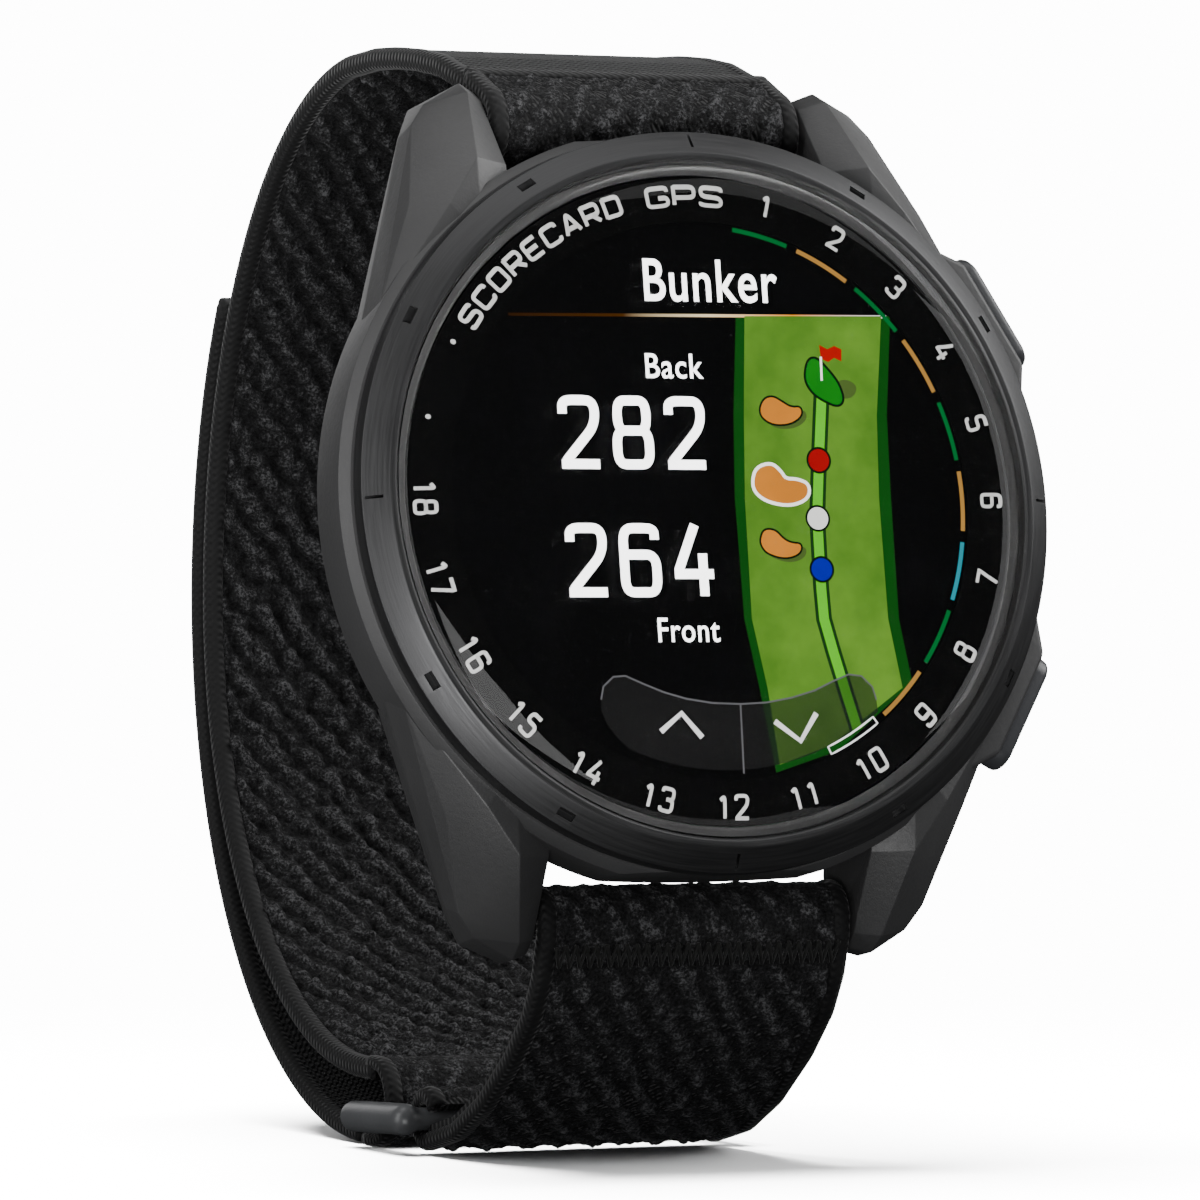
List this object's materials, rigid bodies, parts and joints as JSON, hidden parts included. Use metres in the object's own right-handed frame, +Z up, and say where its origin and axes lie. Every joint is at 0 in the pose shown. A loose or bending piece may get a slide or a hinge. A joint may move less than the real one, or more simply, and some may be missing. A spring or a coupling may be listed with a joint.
{
  "type": "golf gps watch",
  "caption": "Round GPS golf watch with a domed lens, numbered dial ring, side buttons and a woven hook-and-loop strap threaded through a loop buckle.",
  "frame": {"origin": "the middle of the space for the wrist, inside the closed strap", "axes": "+Z up as the watch stands on the bottom of its strap, +X to the 3 o'clock side, the dial faces -Y and leans back 9 degrees"},
  "size_m": [0.045, 0.0628, 0.0659],
  "materials": {
    "case_polymer": "fibre-reinforced polymer, fine matt moulded grain",
    "bezel_aluminium": "black anodised, brushed round the ring",
    "lens_glass": "polished, rounded edge",
    "display": "lit colour panel under the lens",
    "dial_ink": "black printed ring with pale numerals",
    "seal_rubber": "moulded silicone",
    "steel": "plain stainless steel",
    "gold_contact": "gold plated",
    "circuit_board": "solder mask",
    "battery_foil": "soft foil pouch",
    "antenna_ceramic": "fired ceramic",
    "strap_fabric": "woven nylon, loop pile on one face and fine mesh on the other",
    "hook_tape": "moulded hook tape",
    "buckle_polymer": "satin moulded loop"
  },
  "bodies": {
    "head": {"case_body": "case_polymer", "rear_cover": "case_polymer", "inner_frame": "case_polymer", "charge_port": "case_polymer", "bezel_ring": "bezel_aluminium", "cover_lens": "lens_glass", "sensor_window": "lens_glass", "display_panel": "display", "dial_ring": "dial_ink", "lens_gasket": "seal_rubber", "rear_gasket": "seal_rubber", "upper_button_seal": "seal_rubber", "lower_button_seal": "seal_rubber", "rear_screw_1": "steel", "rear_screw_2": "steel", "rear_screw_3": "steel", "rear_screw_4": "steel", "vibration_motor": "steel", "upper_button_spring": "steel", "upper_button_switch": "steel", "lower_button_spring": "steel", "lower_button_switch": "steel", "charge_pin_1": "gold_contact", "charge_pin_2": "gold_contact", "charge_pin_3": "gold_contact", "charge_pin_4": "gold_contact", "display_lead": "gold_contact", "main_board": "circuit_board", "sensor_board": "circuit_board", "battery": "battery_foil", "gps_antenna": "antenna_ceramic"},
    "upper_button": {"upper_button_cap": "case_polymer", "upper_button_clip": "steel"},
    "lower_button": {"lower_button_cap": "case_polymer", "lower_button_clip": "steel"},
    "long_strap_end": {"long_strap": "strap_fabric", "upper_bar_tube": "steel", "upper_bar_fixed_tip": "steel", "upper_bar_spring": "steel"},
    "upper_bar_slider": {"upper_bar_sliding_tip": "steel"},
    "folded_tail": {"strap_tail": "strap_fabric", "hook_patch": "hook_tape"},
    "short_strap_end": {"short_strap": "strap_fabric", "lower_bar_tube": "steel", "lower_bar_fixed_tip": "steel", "lower_bar_spring": "steel"},
    "lower_bar_slider": {"lower_bar_sliding_tip": "steel"},
    "buckle": {"buckle_ring": "buckle_polymer"}
  },
  "joints": [
    {"name": "upper_button_press", "type": "slide", "parent": "head", "child": "upper_button", "axis": [-0.866, -0.0782, -0.4938], "range_m": [0, 0.0006], "stiffness_N_per_m": 1500},
    {"name": "lower_button_press", "type": "slide", "parent": "head", "child": "lower_button", "axis": [-0.866, 0.0782, 0.4938], "range_m": [0, 0.0006], "stiffness_N_per_m": 1500},
    {"name": "short_strap_swing", "type": "hinge", "parent": "head", "child": "short_strap_end", "pos_m": [0, -0.02914, -0.01876], "axis": [1, 0, 0], "range_deg": [-6, 6], "stiffness_Nm_per_rad": 0.08},
    {"name": "long_strap_swing", "type": "hinge", "parent": "head", "child": "long_strap_end", "pos_m": [0, -0.02188, 0.02707], "axis": [1, 0, 0], "range_deg": [-1.5, 1.5]},
    {"name": "buckle_swing", "type": "hinge", "parent": "short_strap_end", "child": "buckle", "pos_m": [0, -0.0133, -0.031], "axis": [1, 0, 0], "range_deg": [-16, 16]},
    {"name": "tail_peel", "type": "hinge", "parent": "long_strap_end", "child": "folded_tail", "pos_m": [0, -0.0036, -0.0326], "axis": [-1, 0, 0], "range_deg": [0, 40]},
    {"name": "upper_bar_release", "type": "slide", "parent": "long_strap_end", "child": "upper_bar_slider", "axis": [1, 0, 0], "range_m": [0, 0.0017], "stiffness_N_per_m": 900},
    {"name": "lower_bar_release", "type": "slide", "parent": "short_strap_end", "child": "lower_bar_slider", "axis": [1, 0, 0], "range_m": [0, 0.0017], "stiffness_N_per_m": 900}
  ],
  "couplings": [
    {"joint": "long_strap_swing", "follows": "short_strap_swing", "ratio": 0.2016},
    {"joint": "buckle_swing", "follows": "short_strap_swing", "ratio": -2.5841}
  ]
}
